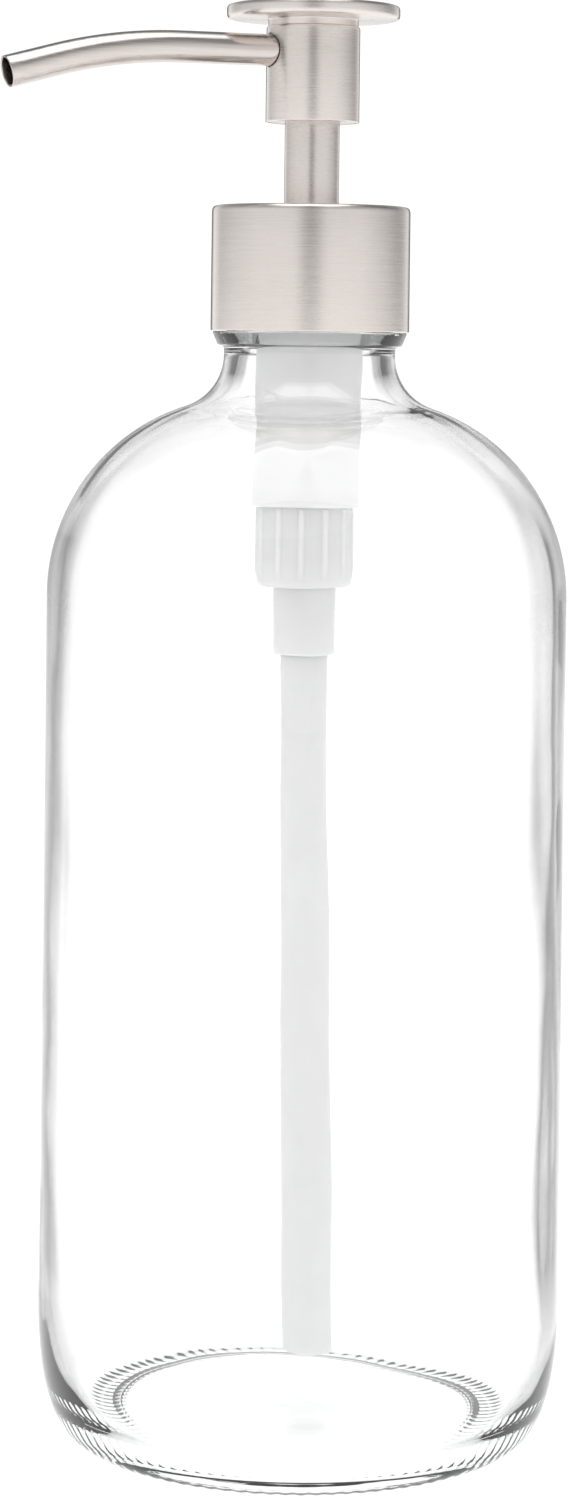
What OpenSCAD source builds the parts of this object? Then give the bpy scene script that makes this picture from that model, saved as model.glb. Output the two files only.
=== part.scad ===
/* [Bottle] */
// Outer diameter of the bottle's straight wall
bottle_d = 94.6; // [93:0.2:97]
// Height of the bottle's rim above the table
bottle_h = 209.5; // [200:0.5:225]
// Thickness of the glass wall
glass_t = 2.6; // [2.2:0.1:3]
// Height of the rounded heel
heel_h = 26; // [22:0.5:30]
// Depth of the push-up under the base
push_up = 3.2; // [2:0.1:4]
// Radius of the shoulder's arc
shoulder_r = 36; // [34:0.5:38]
// Radius of the fillet between the shoulder and the neck
neck_fillet_r = 10; // [8:0.5:12]

/* [Neck finish, size 33-400] */
// Outer diameter of the thread
thread_d = 32; // [31.8:0.1:32.1]
// Diameter of the neck between the threads
finish_d = 29.9; // [29.6:0.1:30]
// Pitch of the thread
thread_pitch = 4.23; // [4:0.01:4.3]
// Height of the finish, from the bead to the rim
finish_h = 10.3; // [10.2:0.1:10.8]
// Diameter of the neck's bore
bore_d = 24.2; // [23.6:0.1:25]
// Diameter of the bead below the thread
bead_d = 35.2; // [34.8:0.1:35.6]

/* [Collar] */
// Outer diameter of the steel collar
collar_d = 36.2; // [36:0.1:38]
// Height of the steel collar
collar_h = 22.8; // [22:0.1:25]

/* [Pump] */
// Travel of the head
stroke = 14.5; // [10:0.5:14.5]
// Outer diameter of the barrel
barrel_d = 19.4; // [19:0.1:20.4]
// Outer diameter of the steel stem
stem_d = 10; // [9.6:0.1:10.2]
// Outer diameter of the dip tube
dip_tube_d = 9; // [8:0.2:9.2]
// Height of the dip tube's end above the table
dip_end_z = 14; // [12:1:40]

/* [Head] */
// Diameter of the head body
head_d = 17.1; // [16.6:0.1:18]
// Height of the head body
head_h = 17.5; // [17.5:0.1:19]
// Diameter of the thumb disc
disc_d = 31.6; // [26:0.2:36]
// Thickness of the thumb disc
disc_t = 2.6; // [2.2:0.1:4]
// Outer diameter of the spout tube
spout_d = 5.8; // [5.4:0.1:6]
// Distance from the axis to where the spout starts to bend
spout_straight = 26; // [16:1:40]
// Radius of the spout's bend
spout_bend_r = 92; // [50:1:120]
// Angle of the spout's bend
spout_bend = 15; // [5:1:30]
// Length of the straight tip past the bend
spout_tip = 8; // [4:1:12]

/* [Hidden] */

$fn = 96;
eps = 0.01;
steel = "#c4c0bc";
plastic = "#f2f4f5";
glass = "#dfeaee80";
rubber = "#3a3a3c";

// Clearances between pieces of different bodies
running = 0.05;
seat_gap = 0.05;
face_gap = 0.1;
loose = 0.3;

// Bottle
bottle_r = bottle_d / 2;
inner_r = bottle_r - glass_t;
heel_power = 2.4;
heel_depth = 8.8;
foot_r = bottle_r - heel_depth;
foot_w = 4;
dome_r = 200;
dome_edge_deg = 81.5;
floor_t = 5.4;
floor_round_w = 15;
floor_round_h = 19;
chord_deg = 1.5;
shoulder_x = bottle_r - shoulder_r;
neck_r = finish_d / 2 - 0.25;
bore_r = bore_d / 2;
bead_r = bead_d / 2;
bead_h = 2.3;
bead_round = 0.8;
bead_slope = 0.3;
bead_z = bottle_h - finish_h;
fillet_x = neck_r + neck_fillet_r;
fillet_z = bead_z - bead_h - 1.9;
shoulder_z = fillet_z - sqrt(pow(shoulder_r + neck_fillet_r, 2) - pow(fillet_x - shoulder_x, 2));
fillet_deg = atan2(fillet_z - shoulder_z, fillet_x - shoulder_x);
thread_r = thread_d / 2;
root_r = finish_d / 2;
lip = 0.8;
mouth_chamfer = 0.6;

// Collar and thread
collar_r = collar_d / 2;
collar_t = 0.5;
collar_z = bead_z + loose;
collar_top = collar_z + collar_h;
collar_round = 1;
collar_edge = 0.3;
turret_r = 8;
insert_r = collar_r - collar_t;
insert_bore_r = thread_r + 0.25;
insert_thread_r = root_r + 0.3;
thread_w = 2.1;
crest_w = 0.9;
bottle_thread_z = bottle_h - 1.6 - thread_pitch;
thread_sides = 40;
thread_deg = 350;
thread_seat = 1.4;

// Pump body inside the neck
gasket_t = 1;
flange_z = bottle_h + gasket_t;
flange_t = 1.8;
flange_r = root_r - 0.1;
guide_z = flange_z + flange_t;
guide_flange_t = 1.4;
insert_top_z = guide_z + guide_flange_t + face_gap;
insert_top_t = 2;
guide_top = collar_top - 0.2;
barrel_r = barrel_d / 2;
barrel_t = 1.3;
barrel_bore_r = barrel_r - barrel_t;
step_z = bottle_h - 41.7;
valve_z = step_z - 14.6;
socket_z = valve_z - 12.2;
valve_r = barrel_r - 0.85;
valve_body_r = valve_r - 0.4;
valve_bore_r = valve_body_r - 0.85;
socket_r = 5.7;
step_chamfer = 0.4;
valve_round = 1.5;
socket_round = 0.5;
rib_count = 12;
rib_w = 1;
tube_depth = 11;
tube_t = 0.9;
vent_r = 0.6;
skirt_z = guide_z - 6.3;
lead_in = 0.5;

// Inlet valve and spring
inlet_ball_r = 3.2;
inlet_lift = 1.8;
seat_r = 2;
seat_z = valve_z + 1.2;
seat_h = 2.6;
inlet_ball_z = seat_z - seat_r + inlet_ball_r * sqrt(2) + seat_gap;
cage_z = seat_z + seat_h;
cage_r = 5.2;
cage_t = 0.9;
cage_foot_t = 1.4;
cage_roof_z = inlet_ball_z + inlet_ball_r + inlet_lift + loose;
cage_roof_t = 1.2;
cage_hole_r = 1.2;
cage_window_w = 2.4;
spring_wire = 1.1;
spring_r = 6.4;
spring_turns = 7.5;
spring_sides = 16;
wire_sides = 8;
wire_r = spring_wire / 2 - 0.01;

// Stem and piston
stem_r = stem_d / 2;
sleeve_t = 0.5;
core_r = stem_r - sleeve_t;
core_bore_r = 1.9;
sleeve_z = skirt_z + 1;
piston_core_r = 3.6;
stem_flange_r = 7;
piston_top = skirt_z - 1.8;
piston_h = 8;
piston_z = piston_top - piston_h;
piston_lip_h = 1.2;
piston_waist = 1.2;
piston_cup_depth = 2;
stem_flange_z = piston_z - 1.5;
stem_end = stem_flange_z - 3.6;
stem_boss_r = 5.2;
spring_z = cage_z + cage_foot_t;

// Head
head_r = head_d / 2;
head_t = 0.6;
head_lid_t = 0.8;
head_chamfer = 0.5;
plug_r = 4;
head_z = collar_top + stroke + 0.7;
head_top = head_z + head_h;
base_ring_t = 1.5;
core_out_r = head_r - head_t;
core_z = head_z + base_ring_t;
sleeve_top = core_z + 2;
core_top = sleeve_top + 0.8;
spout_r = spout_d / 2;
spout_t = 0.4;
spout_z = head_top - 4.5;
spout_in = 2.5;
spout_sides = 32;
bend_steps = 12;
spout_gap = 0.35;
o_ring_r = 0.35;
o_ring_x = -5.5;
riser_r = 2;
outlet_ball_r = 2.8;
outlet_lift = 1.5;
outlet_seat_h = 1.4;
outlet_ball_z = core_top - outlet_seat_h - core_bore_r + outlet_ball_r * sqrt(2) + seat_gap;
chamber_r = 3.4;
chamber_top = outlet_ball_z + outlet_ball_r + outlet_lift + loose;
boss_r = head_r - 0.35;
boss_h = 1.3;
disc_r = disc_d / 2;
disc_round = 0.9;

// Points along an arc about [x, z], from angle a to angle b
function arc(x, z, r, a, b, n = 12) =
    [for (i = [0:n]) let (t = a + (b - a) * i / n) [x + r * cos(t), z + r * sin(t)]];

// All of a list but its first item
function tail(list) = [for (i = [1:len(list) - 1]) list[i]];

// Quarter of a superellipse, from its foot on the floor up to the wall
function heel(x, z, w, h, n = 14) =
    [for (i = [0:n]) let (t = 90 * i / n)
        [x + w * pow(sin(t), 2 / heel_power), z + h - h * pow(cos(t), 2 / heel_power)]];

module tube(r_out, r_in, z0, z1) {
    translate([0, 0, z0]) difference() {
        cylinder(r = r_out, h = z1 - z0);
        translate([0, 0, -eps]) cylinder(r = r_in, h = z1 - z0 + 2 * eps);
    }
}

module solid_of(points) {
    rotate_extrude() polygon(points);
}

// A ridge that climbs one turn, tapered away at both ends
// face_r is where it meets its wall, and crest_r is its edge
module thread(face_r, crest_r, z) {
    ring = [for (i = [0:thread_sides]) let (
        t = i / thread_sides,
        fade = min(1, 6 * t + 0.02, 6 * (1 - t) + 0.02),
        edge_r = face_r + (crest_r - face_r) * fade,
        foot_r = face_r - (crest_r > face_r ? 0.3 : -0.3),
        mid = z + thread_pitch * t * thread_deg / 360)
        [[foot_r, mid - thread_w / 2], [edge_r, mid - crest_w / 2],
         [edge_r, mid + crest_w / 2], [foot_r, mid + thread_w / 2]]];
    points = [for (i = [0:thread_sides]) let (a = thread_deg * i / thread_sides)
        for (p = ring[i]) [p[0] * cos(a), p[0] * sin(a), p[1]]];
    last = 4 * thread_sides;
    sides = [for (i = [0:thread_sides - 1]) for (k = [0:3]) let (m = (k + 1) % 4)
        [4 * i + k, 4 * i + m, 4 * i + 4 + m, 4 * i + 4 + k]];
    ends = [[3, 2, 1, 0], [last, last + 1, last + 2, last + 3]];
    faces = concat(sides, ends);
    flip = crest_r > face_r;
    polyhedron(points, flip ? faces : [for (f = faces) [for (k = [3:-1:0]) f[k]]]);
}

module glass_outside() {
    solid_of(concat(
        [[0, push_up]],
        arc(0, push_up - dome_r, dome_r, 88, dome_edge_deg, 6),
        [[foot_r - foot_w, 0]],
        heel(foot_r, 0, heel_depth, heel_h),
        arc(shoulder_x, shoulder_z, shoulder_r, 0, fillet_deg, 20),
        tail(arc(fillet_x, fillet_z, neck_fillet_r, 180 + fillet_deg, 180, 10)),
        [[neck_r, bead_z - bead_h - bead_slope], [bead_r - bead_round, bead_z - bead_h]],
        arc(bead_r - bead_round, bead_z - bead_round, bead_round, 0, 90, 5),
        [[root_r, bead_z]],
        arc(root_r - lip, bottle_h - lip, lip, 0, 90, 5),
        [[0, bottle_h]]));
}

// The shoulder's and the neck's arcs stop short of each other, and a chord joins them
module glass_inside() {
    wall_in = shoulder_r - glass_t;
    bore_fillet = fillet_x - bore_r;
    solid_of(concat(
        [[0, push_up + floor_t]],
        heel(inner_r - floor_round_w, floor_t, floor_round_w, floor_round_h),
        arc(shoulder_x, shoulder_z, wall_in, 0, fillet_deg - chord_deg, 20),
        arc(fillet_x, fillet_z, bore_fillet, 180 + fillet_deg - chord_deg, 180, 10),
        [[bore_r, bottle_h - mouth_chamfer], [bore_r + mouth_chamfer, bottle_h + eps]],
        [[0, bottle_h + eps]]));
}

module bottle() {
    color(glass) {
        difference() {
            glass_outside();
            glass_inside();
        }
        thread(root_r, thread_r, bottle_thread_z);
    }
}

module neck_gasket() {
    color(rubber) tube(flange_r, barrel_r + loose, bottle_h, flange_z);
}

// Barrel with its flange, its ribbed valve section and the dip tube's socket
module pump_housing() {
    color(plastic) difference() {
        union() {
            solid_of(concat(
                [[0, guide_z], [flange_r, guide_z], [flange_r, flange_z], [barrel_r, flange_z]],
                [[barrel_r, step_z + step_chamfer], [barrel_r - step_chamfer, step_z]],
                [[valve_body_r, step_z]],
                arc(valve_body_r - valve_round, valve_z + valve_round, valve_round, 0, -90, 5),
                [[socket_r, valve_z]],
                arc(socket_r - socket_round, socket_z + socket_round, socket_round, 0, -90, 4),
                [[0, socket_z]]));
            for (i = [0:rib_count - 1]) rotate(i * 360 / rib_count)
                translate([valve_bore_r + eps, -rib_w / 2, valve_z + valve_round])
                    cube([valve_r - valve_bore_r - eps, rib_w, step_z - valve_z - valve_round]);
        }
        translate([0, 0, step_z + 1.2]) cylinder(r = barrel_bore_r, h = guide_z - step_z);
        translate([0, 0, seat_z + seat_h]) cylinder(r = valve_bore_r, h = guide_z - seat_z);
        translate([0, 0, seat_z]) cylinder(r1 = seat_r, r2 = seat_r + seat_h, h = seat_h + eps);
        translate([0, 0, socket_z - eps]) cylinder(r = seat_r, h = seat_z - socket_z + 0.1);
        translate([0, 0, socket_z - eps]) cylinder(r = dip_tube_d / 2, h = tube_depth + 2 * face_gap);
        // Air vent below the flange
        translate([0, 0, skirt_z - 0.9]) rotate([0, 90, 0]) cylinder(r = vent_r, h = barrel_r + 1);
    }
}

// Closes the barrel, and guides the stem through the collar
module guide_ring() {
    color(plastic) difference() {
        union() {
            translate([0, 0, skirt_z]) cylinder(r = barrel_bore_r, h = guide_z - skirt_z);
            translate([0, 0, guide_z]) cylinder(r = flange_r - 0.4, h = guide_flange_t);
            translate([0, 0, guide_z]) cylinder(r = turret_r, h = guide_top - guide_z);
        }
        translate([0, 0, skirt_z - 1]) cylinder(r = stem_r + running, h = collar_h + 20);
        translate([0, 0, guide_top - lead_in])
            cylinder(r1 = stem_r + running, r2 = stem_r + running + lead_in, h = lead_in + eps);
    }
}

// Keeps the inlet ball in, with the spring standing on its foot
module ball_cage() {
    color(plastic) difference() {
        union() {
            translate([0, 0, cage_z]) cylinder(r = valve_bore_r, h = cage_foot_t);
            translate([0, 0, cage_z]) cylinder(r = cage_r, h = cage_roof_z + cage_roof_t - cage_z);
        }
        translate([0, 0, cage_z - 1]) cylinder(r = cage_r - cage_t, h = cage_roof_z - cage_z + 1);
        translate([0, 0, cage_roof_z - 1]) cylinder(r = cage_hole_r, h = cage_roof_t + 2);
        for (i = [0:3]) rotate(45 + 90 * i)
            translate([0, -cage_window_w / 2, spring_z + loose])
                cube([2 * cage_r, cage_window_w, cage_roof_z - spring_z - loose]);
    }
}

module dip_tube() {
    color(plastic) tube(dip_tube_d / 2, dip_tube_d / 2 - tube_t, dip_end_z, socket_z + tube_depth);
}

// Share of the spring's height reached at share t of its turns: the two end turns are closed
function rise(t, closed) =
    t < 1 / spring_turns ? closed * t * spring_turns
    : t > 1 - 1 / spring_turns ? 1 - closed * (1 - t) * spring_turns
    : closed + (1 - 2 * closed) * (t - 1 / spring_turns) / (1 - 2 / spring_turns);

module return_spring() {
    turns = spring_turns * spring_sides;
    low = spring_z + spring_wire / 2 + 0.02;
    high = stem_flange_z - spring_wire / 2 - 0.02;
    closed = spring_wire / (high - low);
    n = wire_sides;
    points = [for (i = [0:turns]) let (
        t = i / turns,
        a = 360 * spring_turns * t,
        z = low + (high - low) * rise(t, closed))
        for (k = [0:n - 1]) let (b = 360 * k / n, r = spring_r + wire_r * cos(b))
            [r * cos(a), r * sin(a), z + wire_r * sin(b)]];
    last = n * turns;
    sides = [for (i = [0:turns - 1]) for (k = [0:n - 1]) let (m = (k + 1) % n)
        [n * i + k, n * i + m, n * i + n + m, n * i + n + k]];
    ends = [[for (k = [n - 1:-1:0]) k], [for (k = [0:n - 1]) last + k]];
    color(steel) polyhedron(points, concat(sides, ends));
}

module inlet_ball() {
    color(steel) translate([0, 0, inlet_ball_z]) sphere(r = inlet_ball_r);
}

module collar_shell() {
    color(steel) difference() {
        solid_of(concat(
            [[0, collar_z], [collar_r - collar_edge, collar_z], [collar_r, collar_z + collar_edge]],
            arc(collar_r - collar_round, collar_top - collar_round, collar_round, 0, 90, 6),
            [[0, collar_top]]));
        translate([0, 0, collar_z - eps])
            cylinder(r = insert_r, h = collar_h - collar_round - 0.4);
        translate([0, 0, collar_z])
            cylinder(r = insert_r - collar_round, h = collar_h - collar_t);
        cylinder(r = turret_r + loose, h = collar_top + 1);
    }
}

// Threaded closure, with a narrow upper wall that carries the steel shell's top
module collar_insert() {
    floor_z = collar_z + collar_edge;
    shell_roof = collar_top - collar_t;
    color(plastic) {
        difference() {
            translate([0, 0, floor_z]) cylinder(r = insert_r, h = insert_top_z + insert_top_t - floor_z);
            translate([0, 0, floor_z - 1]) cylinder(r = insert_bore_r, h = insert_top_z - floor_z + 1);
            cylinder(r = turret_r + loose, h = collar_top);
        }
        tube(turret_r + 2, turret_r + loose, insert_top_z + insert_top_t, shell_roof);
        thread(insert_bore_r, insert_thread_r, bottle_thread_z - thread_seat);
    }
}

// Cup seal that runs in the barrel, with a lip at each end
module piston() {
    out_r = barrel_bore_r - running;
    waist_r = out_r - piston_waist;
    color(plastic) difference() {
        solid_of([[0, piston_z], [out_r, piston_z], [out_r, piston_z + piston_lip_h],
            [waist_r, piston_z + 2 * piston_lip_h], [waist_r, piston_top - 2 * piston_lip_h],
            [out_r, piston_top - piston_lip_h], [out_r, piston_top], [0, piston_top]]);
        translate([0, 0, piston_z - 1]) cylinder(r = piston_core_r + running, h = piston_h + 2);
        tube(waist_r - 0.8, piston_core_r + piston_waist, piston_top - piston_cup_depth, piston_top + 1);
    }
}

// Hollow stem: the piston runs below its shoulder, and the outlet ball's seat is at its top
module stem_core() {
    shoulder = piston_top + seat_gap;
    color(plastic) difference() {
        union() {
            translate([0, 0, stem_end]) cylinder(r = piston_core_r, h = core_top - stem_end);
            translate([0, 0, stem_flange_z])
                cylinder(r = stem_flange_r, h = piston_z - seat_gap - stem_flange_z);
            translate([0, 0, shoulder]) cylinder(r = core_r, h = core_top - shoulder);
            translate([0, 0, stem_end]) cylinder(r = stem_boss_r, h = stem_flange_z - stem_end);
        }
        translate([0, 0, stem_end - 1]) cylinder(r = core_bore_r, h = core_top - stem_end + 2);
        translate([0, 0, core_top - outlet_seat_h])
            cylinder(r1 = core_bore_r, r2 = core_bore_r + outlet_seat_h + eps, h = outlet_seat_h + eps);
    }
}

module stem_sleeve() {
    color(steel) tube(stem_r, core_r, sleeve_z, sleeve_top);
}

module head_base_ring() {
    color(steel) tube(core_out_r, stem_r, head_z, core_z);
}

// Plastic heart of the head: sockets for the stem and spout, and the outlet valve's chamber
module head_core() {
    top = head_top - head_lid_t;
    color(plastic) difference() {
        translate([0, 0, core_z]) cylinder(r = core_out_r, h = top - core_z);
        translate([0, 0, core_z - 1]) cylinder(r = stem_r, h = sleeve_top - core_z + 1);
        translate([0, 0, core_z]) cylinder(r = core_r, h = core_top - core_z);
        translate([0, 0, core_top - eps]) cylinder(r = chamber_r, h = chamber_top - core_top + eps);
        translate([0, 0, chamber_top - eps]) cylinder(r = riser_r, h = spout_z - chamber_top);
        translate([0, 0, spout_z]) rotate([0, -90, 0])
            cylinder(r = spout_r - spout_t, h = spout_in + eps);
        translate([-spout_in, 0, spout_z]) rotate([0, -90, 0])
            cylinder(r = spout_r, h = head_r);
        translate([o_ring_x - 1.2 * o_ring_r, 0, spout_z]) rotate([0, 90, 0])
            cylinder(r = spout_r + 2 * o_ring_r, h = 2.4 * o_ring_r);
    }
}

module head_shell() {
    edge_r = head_r - head_chamfer;
    color(steel) difference() {
        solid_of([[0, head_z], [edge_r, head_z], [head_r, head_z + head_chamfer],
            [head_r, head_top - head_chamfer], [edge_r, head_top], [0, head_top]]);
        translate([0, 0, head_z - 1]) cylinder(r = core_out_r, h = head_h - head_lid_t + 1);
        translate([0, 0, head_top - 1]) cylinder(r = plug_r, h = 2);
        translate([0, 0, spout_z]) rotate([0, -90, 0])
            cylinder(r = spout_r + spout_gap, h = head_r + 1);
    }
}

module thumb_disc() {
    z = head_top + boss_h;
    color(steel) solid_of(concat(
        [[0, head_top - head_lid_t], [plug_r, head_top - head_lid_t], [plug_r, head_top]],
        [[boss_r, head_top], [boss_r, z]],
        arc(disc_r - disc_round, z + disc_round, disc_round, -90, 0, 5),
        arc(disc_r - disc_round, z + disc_t - disc_round, disc_round, 0, 90, 5),
        [[0, z + disc_t]]));
}

// One ring of the spout's wall: centre [x, z], bent down by deg, at radius r
function spout_ring(x, z, deg, r) =
    [for (k = [0:spout_sides - 1]) let (t = 360 * k / spout_sides, up = r * cos(t))
        [x - up * sin(deg), r * sin(t), z + up * cos(deg)]];

// A straight root, a long bend and a short straight tip, as one hollow sweep
module spout_tube() {
    tip_x = -spout_straight - spout_bend_r * sin(spout_bend) - spout_tip * cos(spout_bend);
    tip_z = spout_z - spout_bend_r * (1 - cos(spout_bend)) - spout_tip * sin(spout_bend);
    path = concat([[-spout_in, spout_z, 0]],
        [for (i = [0:bend_steps]) let (a = spout_bend * i / bend_steps)
            [-spout_straight - spout_bend_r * sin(a), spout_z - spout_bend_r * (1 - cos(a)), a]],
        [[tip_x, tip_z, spout_bend]]);
    n = spout_sides;
    last = len(path) - 1;
    inner = n * (last + 1);
    points = [for (r = [spout_r, spout_r - spout_t]) for (p = path)
        each spout_ring(p[0], p[1], p[2], r)];
    outer_faces = [for (i = [0:last - 1]) for (k = [0:n - 1]) let (m = (k + 1) % n)
        [n * i + k, n * i + n + k, n * i + n + m, n * i + m]];
    inner_faces = [for (f = outer_faces) [for (j = [3:-1:0]) f[j] + inner]];
    root_end = [for (k = [0:n - 1]) let (m = (k + 1) % n) [k, m, inner + m, inner + k]];
    tip_end = [for (k = [0:n - 1]) let (m = (k + 1) % n, e = n * last)
        [e + m, e + k, inner + e + k, inner + e + m]];
    color(steel) polyhedron(points, concat(outer_faces, inner_faces, root_end, tip_end));
}

// Seals the spout in its socket
module spout_o_ring() {
    color(rubber) translate([o_ring_x, 0, spout_z]) rotate([0, 90, 0])
        rotate_extrude() translate([spout_r + o_ring_r, 0]) circle(r = o_ring_r - eps);
}

module outlet_ball() {
    color(steel) translate([0, 0, outlet_ball_z]) sphere(r = outlet_ball_r);
}

bottle();
neck_gasket();
pump_housing();
guide_ring();
ball_cage();
dip_tube();
return_spring();
inlet_ball();
collar_shell();
collar_insert();
piston();
stem_core();
stem_sleeve();
head_base_ring();
head_core();
head_shell();
thumb_disc();
spout_tube();
spout_o_ring();
outlet_ball();
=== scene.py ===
"""Soap pump dispenser: detailed pieces, materials, light and camera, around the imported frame."""

import math

import bmesh
import bpy
from mathutils import Euler, Matrix, Vector, noise


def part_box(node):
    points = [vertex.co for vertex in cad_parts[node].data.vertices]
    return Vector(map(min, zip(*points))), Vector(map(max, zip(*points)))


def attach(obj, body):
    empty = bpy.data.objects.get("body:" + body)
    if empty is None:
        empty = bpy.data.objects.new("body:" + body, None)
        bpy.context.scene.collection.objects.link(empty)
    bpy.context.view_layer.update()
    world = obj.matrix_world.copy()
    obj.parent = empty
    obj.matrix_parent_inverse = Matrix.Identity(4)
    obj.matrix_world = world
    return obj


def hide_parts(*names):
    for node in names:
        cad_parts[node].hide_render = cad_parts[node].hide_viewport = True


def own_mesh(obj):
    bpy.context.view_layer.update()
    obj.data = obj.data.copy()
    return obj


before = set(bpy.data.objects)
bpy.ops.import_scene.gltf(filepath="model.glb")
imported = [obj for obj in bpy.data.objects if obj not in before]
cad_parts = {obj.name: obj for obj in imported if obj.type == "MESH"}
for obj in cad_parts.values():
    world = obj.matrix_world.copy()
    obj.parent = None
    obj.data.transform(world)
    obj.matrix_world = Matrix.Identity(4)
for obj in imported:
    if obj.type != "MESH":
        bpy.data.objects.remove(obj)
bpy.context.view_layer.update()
MM = 0.001

# ---------------------------------------------------------------- places read from the frame


def low_z(node):
    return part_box(node)[0].z


def high_z(node):
    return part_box(node)[1].z


def radius(node):
    low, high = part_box(node)
    return (high.y - low.y) / 2


RIM_Z = high_z("bottle")
BOTTLE_R = radius("bottle")
COLLAR_Z = low_z("collar_shell")
COLLAR_TOP = high_z("collar_shell")
COLLAR_R = radius("collar_shell")
HEAD_Z = low_z("head_shell")
HEAD_TOP = high_z("head_shell")
HEAD_R = radius("head_shell")
STEM_R = radius("stem_sleeve")
DISC_R = radius("thumb_disc")
TOP_Z = high_z("thumb_disc")
SPOUT_R = radius("spout_tube")

# ---------------------------------------------------------------- sizes of the bottle and spout, in metres

# The neck, bead, spout tip and floor of the glass differ a little from part.scad's
GLASS_T = 2.6 * MM
HEEL_H = 26 * MM
HEEL_DEPTH = 8.8 * MM
HEEL_POWER = 2.4
PUSH_UP = 3.2 * MM
FOOT_W = 4 * MM
FLOOR_T = 3.4 * MM
INNER_DOME_Z = 5.4 * MM
INNER_ROUND_W = 9.8 * MM
INNER_ROUND_H = 23 * MM
SHOULDER_R = 36 * MM
FILLET_R = 10 * MM
NECK_R = 15.6 * MM
ROOT_R = 14.95 * MM
BORE_R = 12.1 * MM
BEAD_R = 17.6 * MM
BEAD_Z = RIM_Z - 10.1 * MM
BEAD_H = 2.5 * MM
THREAD_H = 1.05 * MM
THREAD_PITCH = 4.23 * MM
THREAD_Z = RIM_Z - 1.6 * MM - THREAD_PITCH
THREAD_DEG = 350

SPOUT_Z = HEAD_TOP - 4.5 * MM
SPOUT_IN = 2.5 * MM
SPOUT_STRAIGHT = 26 * MM
SPOUT_BEND_R = 92 * MM
SPOUT_BEND = math.radians(15)
SPOUT_TIP = 9.4 * MM
SPOUT_DROOP = math.radians(0.4)
SPOUT_T = 0.4 * MM

# ---------------------------------------------------------------- mesh helpers


def arc(x, z, r, start, end, steps):
    """Points along an arc about (x, z), from start to end in degrees."""
    turns = (math.radians(start + (end - start) * i / steps) for i in range(steps + 1))
    return [(x + r * math.cos(t), z + r * math.sin(t)) for t in turns]


def line(a, b, steps):
    """Points from a to b, without b."""
    return [(a[0] + (b[0] - a[0]) * i / steps, a[1] + (b[1] - a[1]) * i / steps) for i in range(steps)]


def dome(centre_z, r, z, steps):
    """Points of a shallow dome from its centre out to (r, z), without the last."""
    shares = [i / steps for i in range(steps)]
    return [(r * share, centre_z + (z - centre_z) * share ** 2) for share in shares]


def rounded(corners, steps=4):
    """A closed outline of (r, z, fillet) corners with each fillet as an arc of several points."""
    outline = []
    for i, (r, z, fillet) in enumerate(corners):
        here = Vector((r, z))
        before = Vector(corners[i - 1][:2]) - here
        after = Vector(corners[(i + 1) % len(corners)][:2]) - here
        if not fillet:
            outline.append((r, z))
            continue
        half = before.angle(after) / 2
        reach = min(fillet / math.tan(half), before.length * 0.49, after.length * 0.49)
        start = here + before.normalized() * reach
        end = here + after.normalized() * reach
        for k in range(steps + 1):
            t = k / steps
            point = start * (1 - t) ** 2 + here * 2 * t * (1 - t) + end * t ** 2
            outline.append((point.x, point.y))
    return outline


def finish_mesh(name, bm, body, material, replaces, sharp=40):
    """Turns a bmesh into a smooth-shaded piece that rides on body, in place of the nodes in replaces."""
    bmesh.ops.recalc_face_normals(bm, faces=bm.faces)
    mesh = bpy.data.meshes.new(name)
    bm.to_mesh(mesh)
    bm.free()
    mesh.polygons.foreach_set("use_smooth", [True] * len(mesh.polygons))
    mesh.set_sharp_from_angle(angle=math.radians(sharp))
    piece = bpy.data.objects.new(name, mesh)
    bpy.context.scene.collection.objects.link(piece)
    mesh.materials.append(material)
    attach(piece, body)
    if replaces:
        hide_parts(*replaces)
    return piece


def lathe(outline, segments, shape=None, closed=True):
    """A bmesh of the outline turned about Z. shape(r, z, angle, row) moves a point."""
    bm = bmesh.new()
    rows = []
    for row, (r, z) in enumerate(outline):
        if r < 1e-7:
            rows.append([bm.verts.new((0, 0, z))])
            continue
        ring = []
        for k in range(segments):
            angle = 2 * math.pi * k / segments
            pr, pz = shape(r, z, angle, row) if shape else (r, z)
            ring.append(bm.verts.new((pr * math.cos(angle), pr * math.sin(angle), pz)))
        rows.append(ring)
    last = len(rows) if closed else len(rows) - 1
    for i in range(last):
        a, b = rows[i], rows[(i + 1) % len(rows)]
        if len(a) == 1 and len(b) == 1:
            continue
        for k in range(segments):
            m = (k + 1) % segments
            quad = [a[k % len(a)], a[m % len(a)], b[m % len(b)], b[k % len(b)]]
            bm.faces.new(list(dict.fromkeys(quad)))
    return bm


def turned(name, corners, body, material, replaces, segments=128, sharp=40):
    """A piece turned about the bottle's axis, from rounded corners."""
    return finish_mesh(name, lathe(rounded(corners), segments), body, material, replaces, sharp)


# ---------------------------------------------------------------- material helpers


def grey_ramp(tree, share, stops):
    """A grey that runs through the (place, level) stops as share goes from 0 to 1."""
    made = tree.nodes.new("ShaderNodeValToRGB")
    tree.links.new(share, made.inputs["Fac"])
    points = made.color_ramp.elements
    points.remove(points[1])
    points[0].position = stops[0][0]
    made_points = [points[0]] + [points.new(place) for place, _ in stops[1:]]
    for point, (_, level) in zip(made_points, stops):
        point.color = (level, level, level, 1)
    return made.outputs["Color"]


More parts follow.
